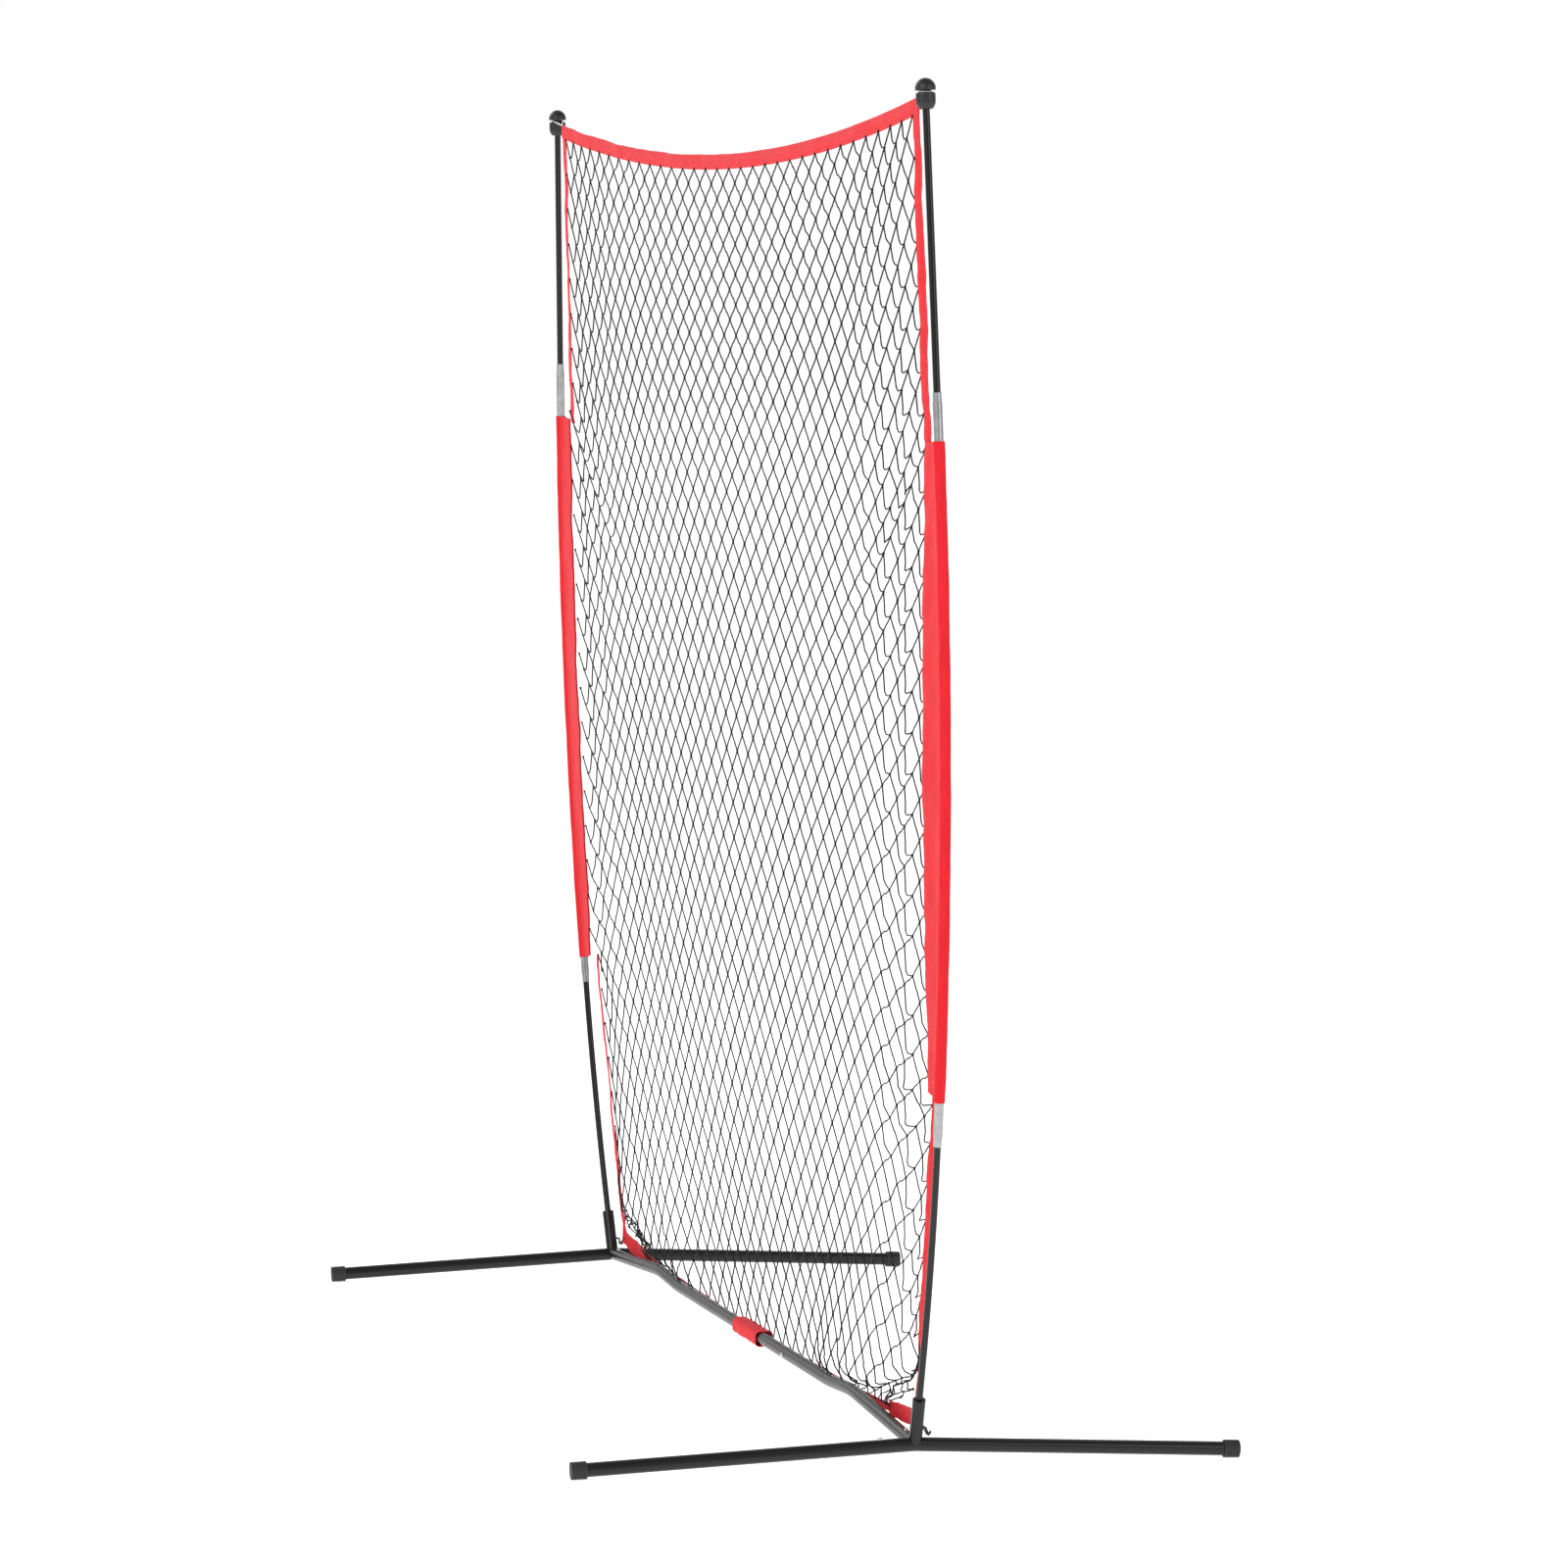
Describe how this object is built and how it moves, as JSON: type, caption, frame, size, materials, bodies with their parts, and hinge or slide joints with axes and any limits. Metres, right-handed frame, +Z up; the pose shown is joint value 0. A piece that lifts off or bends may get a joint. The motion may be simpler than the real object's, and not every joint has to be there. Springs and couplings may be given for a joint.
{
  "type": "practice net",
  "caption": "Free-standing practice net: diamond mesh with fabric hems between two bowed poles on a low tube base with four splayed feet.",
  "frame": {"origin": "on the floor, midway between the two hubs", "axes": "+X along the crossbar, +Y to the back of the net, +Z up"},
  "size_m": [2.2358, 1.0776, 2.1313],
  "materials": {
    "black_paint": "satin black powder coat on steel tube",
    "fibreglass": "smooth black fibreglass rod",
    "ferrule_metal": "plain turned aluminium",
    "knob_plastic": "moulded black plastic",
    "cap_rubber": "ribbed moulded rubber",
    "elastic_cord": "braided elastic cord",
    "red_fabric": "woven polyester with stitched edges",
    "net_twine": "knotted polyester twine and cord",
    "button_steel": "zinc-plated spring steel"
  },
  "bodies": {
    "frame": {"right_welded_leg": "black_paint", "right_leg_stub": "black_paint", "right_crossbar_stub": "black_paint", "right_pole_socket": "black_paint", "right_plug_leg": "black_paint", "right_crossbar_end": "black_paint", "right_lower_pole": "fibreglass", "right_middle_pole": "fibreglass", "right_upper_pole": "fibreglass", "right_lower_ferrule": "ferrule_metal", "right_upper_ferrule": "ferrule_metal", "right_knob": "knob_plastic", "right_corner_hook": "knob_plastic", "right_front_cap": "cap_rubber", "right_back_cap": "cap_rubber", "right_elastic": "elastic_cord", "right_sleeve": "red_fabric", "right_upper_side_hem": "red_fabric", "right_lower_side_hem": "red_fabric", "right_corner_tab": "red_fabric", "right_corner_loop": "net_twine", "left_welded_leg": "black_paint", "left_leg_stub": "black_paint", "left_crossbar_stub": "black_paint", "left_pole_socket": "black_paint", "left_plug_leg": "black_paint", "left_crossbar_end": "black_paint", "left_lower_pole": "fibreglass", "left_middle_pole": "fibreglass", "left_upper_pole": "fibreglass", "left_lower_ferrule": "ferrule_metal", "left_upper_ferrule": "ferrule_metal", "left_knob": "knob_plastic", "left_corner_hook": "knob_plastic", "left_front_cap": "cap_rubber", "left_back_cap": "cap_rubber", "left_elastic": "elastic_cord", "left_sleeve": "red_fabric", "left_upper_side_hem": "red_fabric", "left_lower_side_hem": "red_fabric", "left_corner_tab": "red_fabric", "left_corner_loop": "net_twine", "crossbar_middle": "black_paint", "spring_backs": "button_steel", "top_hem": "red_fabric", "bottom_hem": "red_fabric", "centre_strap": "red_fabric", "net": "net_twine"},
    "right_leg_button": {"right_leg_button": "button_steel"},
    "right_hub_button": {"right_hub_button": "button_steel"},
    "right_middle_button": {"right_middle_button": "button_steel"},
    "left_leg_button": {"left_leg_button": "button_steel"},
    "left_hub_button": {"left_hub_button": "button_steel"},
    "left_middle_button": {"left_middle_button": "button_steel"}
  },
  "joints": [
    {"name": "right_leg_button_press", "type": "slide", "parent": "frame", "child": "right_leg_button", "axis": [0.0043, 0.0449, -0.999], "range_m": [0, 0.0048], "stiffness_N_per_m": 1500, "springref_m": -0.003},
    {"name": "right_hub_button_press", "type": "slide", "parent": "frame", "child": "right_hub_button", "axis": [-0.0743, 0, -0.9972], "range_m": [0, 0.0047], "stiffness_N_per_m": 1500, "springref_m": -0.003},
    {"name": "right_middle_button_press", "type": "slide", "parent": "frame", "child": "right_middle_button", "axis": [0, 1, 0], "range_m": [0, 0.0047], "stiffness_N_per_m": 1500, "springref_m": -0.003},
    {"name": "left_leg_button_press", "type": "slide", "parent": "frame", "child": "left_leg_button", "axis": [-0.0043, -0.0449, -0.999], "range_m": [0, 0.0048], "stiffness_N_per_m": 1500, "springref_m": -0.003},
    {"name": "left_hub_button_press", "type": "slide", "parent": "frame", "child": "left_hub_button", "axis": [0.0743, 0, -0.9972], "range_m": [0, 0.0047], "stiffness_N_per_m": 1500, "springref_m": -0.003},
    {"name": "left_middle_button_press", "type": "slide", "parent": "frame", "child": "left_middle_button", "axis": [0, -1, 0], "range_m": [0, 0.0047], "stiffness_N_per_m": 1500, "springref_m": -0.003}
  ]
}
